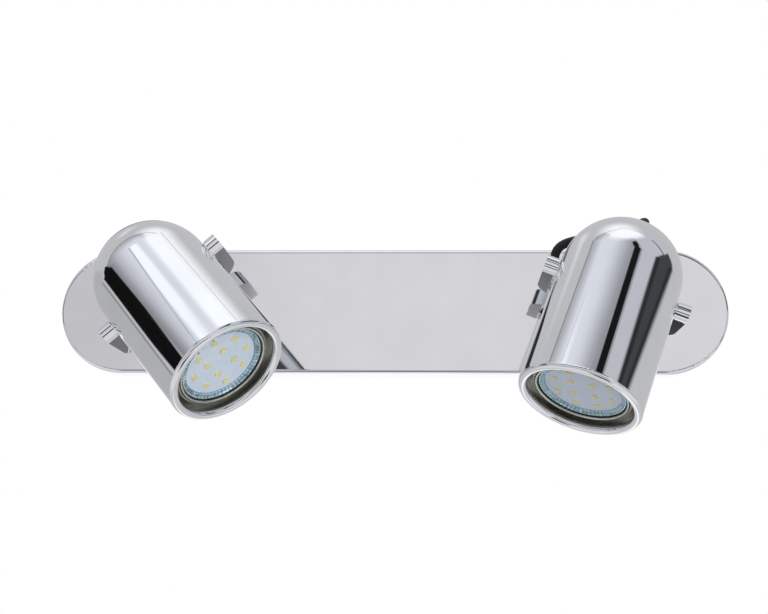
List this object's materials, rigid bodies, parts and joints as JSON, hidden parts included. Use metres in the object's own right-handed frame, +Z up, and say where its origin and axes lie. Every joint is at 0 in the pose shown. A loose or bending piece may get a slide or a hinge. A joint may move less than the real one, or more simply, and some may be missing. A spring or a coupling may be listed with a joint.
{
  "type": "wall spotlight",
  "caption": "Wall spotlight bar: a long round-ended chromed canopy with bullet-shaped heads on U-shaped yokes that swivel and tilt, each head fed by a short black flex.",
  "frame": {"origin": "centre of the canopy on the wall, on the back face of the wall bracket", "axes": "+Y into the wall, +Z up, +X along the canopy to the viewer's right"},
  "size_m": [0.425, 0.1593, 0.1349],
  "materials": {
    "chrome": "polished",
    "zinc_steel": "zinc plated",
    "brass": "plain",
    "white_plastic": "matt",
    "fibre": "matt",
    "flex_sheath": "matt",
    "gland_rubber": "matt",
    "lead_brown": "matt",
    "lead_blue": "matt",
    "lead_green": "matt",
    "ceramic": "glazed",
    "lamp_white": "gloss",
    "lamp_metal": "satin",
    "board": "satin",
    "chip": "satin",
    "lamp_glass": "clear",
    "dark_paint": "satin",
    "bronze_wire": "bronze"
  },
  "bodies": {
    "canopy_body": {"canopy": "chrome", "wall_bracket": "zinc_steel", "canopy_screws": "zinc_steel", "terminal_block": "white_plastic", "terminal_screws": "brass", "earth_screw": "brass", "live_leads": "lead_brown", "neutral_leads": "lead_blue", "earth_leads": "lead_green", "left_swivel_collar": "chrome", "right_swivel_collar": "chrome"},
    "left_yoke_body": {"left_swivel_washer": "fibre", "left_swivel_nipple": "chrome", "left_spring_washer": "zinc_steel", "left_swivel_nut": "brass", "left_yoke": "chrome", "left_pivot_screws": "zinc_steel", "left_pivot_bushes": "chrome", "left_pivot_springs": "zinc_steel"},
    "left_head_body": {"left_head_shell": "chrome", "left_cord_gland": "gland_rubber", "left_flex": "flex_sheath", "left_holder_strip": "zinc_steel", "left_lampholder": "ceramic", "left_holder_screws": "zinc_steel", "left_head_leads": "lead_brown", "left_lamp_cap": "lamp_white", "left_lamp_pins": "brass", "left_lamp_reflector": "lamp_metal", "left_lamp_board": "board", "left_lamp_chips": "chip", "left_lamp_glass": "lamp_glass", "left_baffle_ring": "dark_paint", "left_lamp_clip": "bronze_wire"},
    "right_yoke_body": {"right_swivel_washer": "fibre", "right_swivel_nipple": "chrome", "right_spring_washer": "zinc_steel", "right_swivel_nut": "brass", "right_yoke": "chrome", "right_pivot_screws": "zinc_steel", "right_pivot_bushes": "chrome", "right_pivot_springs": "zinc_steel"},
    "right_head_body": {"right_head_shell": "chrome", "right_cord_gland": "gland_rubber", "right_flex": "flex_sheath", "right_holder_strip": "zinc_steel", "right_lampholder": "ceramic", "right_holder_screws": "zinc_steel", "right_head_leads": "lead_brown", "right_lamp_cap": "lamp_white", "right_lamp_pins": "brass", "right_lamp_reflector": "lamp_metal", "right_lamp_board": "board", "right_lamp_chips": "chip", "right_lamp_glass": "lamp_glass", "right_baffle_ring": "dark_paint", "right_lamp_clip": "bronze_wire"}
  },
  "joints": [
    {"name": "left_swivel", "type": "hinge", "parent": "canopy_body", "child": "left_yoke_body", "pos_m": [-0.1325, -0.02, 0], "axis": [0, -1, 0], "range_deg": [-206, 124]},
    {"name": "left_tilt", "type": "hinge", "parent": "left_yoke_body", "child": "left_head_body", "pos_m": [-0.1325, -0.095, 0], "axis": [0.7547, 0, 0.6561], "range_deg": [-155, 25], "deforming": ["left_flex"]},
    {"name": "right_swivel", "type": "hinge", "parent": "canopy_body", "child": "right_yoke_body", "pos_m": [0.1325, -0.02, 0], "axis": [0, -1, 0], "range_deg": [-144.5, 185.5]},
    {"name": "right_tilt", "type": "hinge", "parent": "right_yoke_body", "child": "right_head_body", "pos_m": [0.1325, -0.095, 0], "axis": [0.9367, 0, -0.3502], "range_deg": [-160, 20], "deforming": ["right_flex"]}
  ]
}
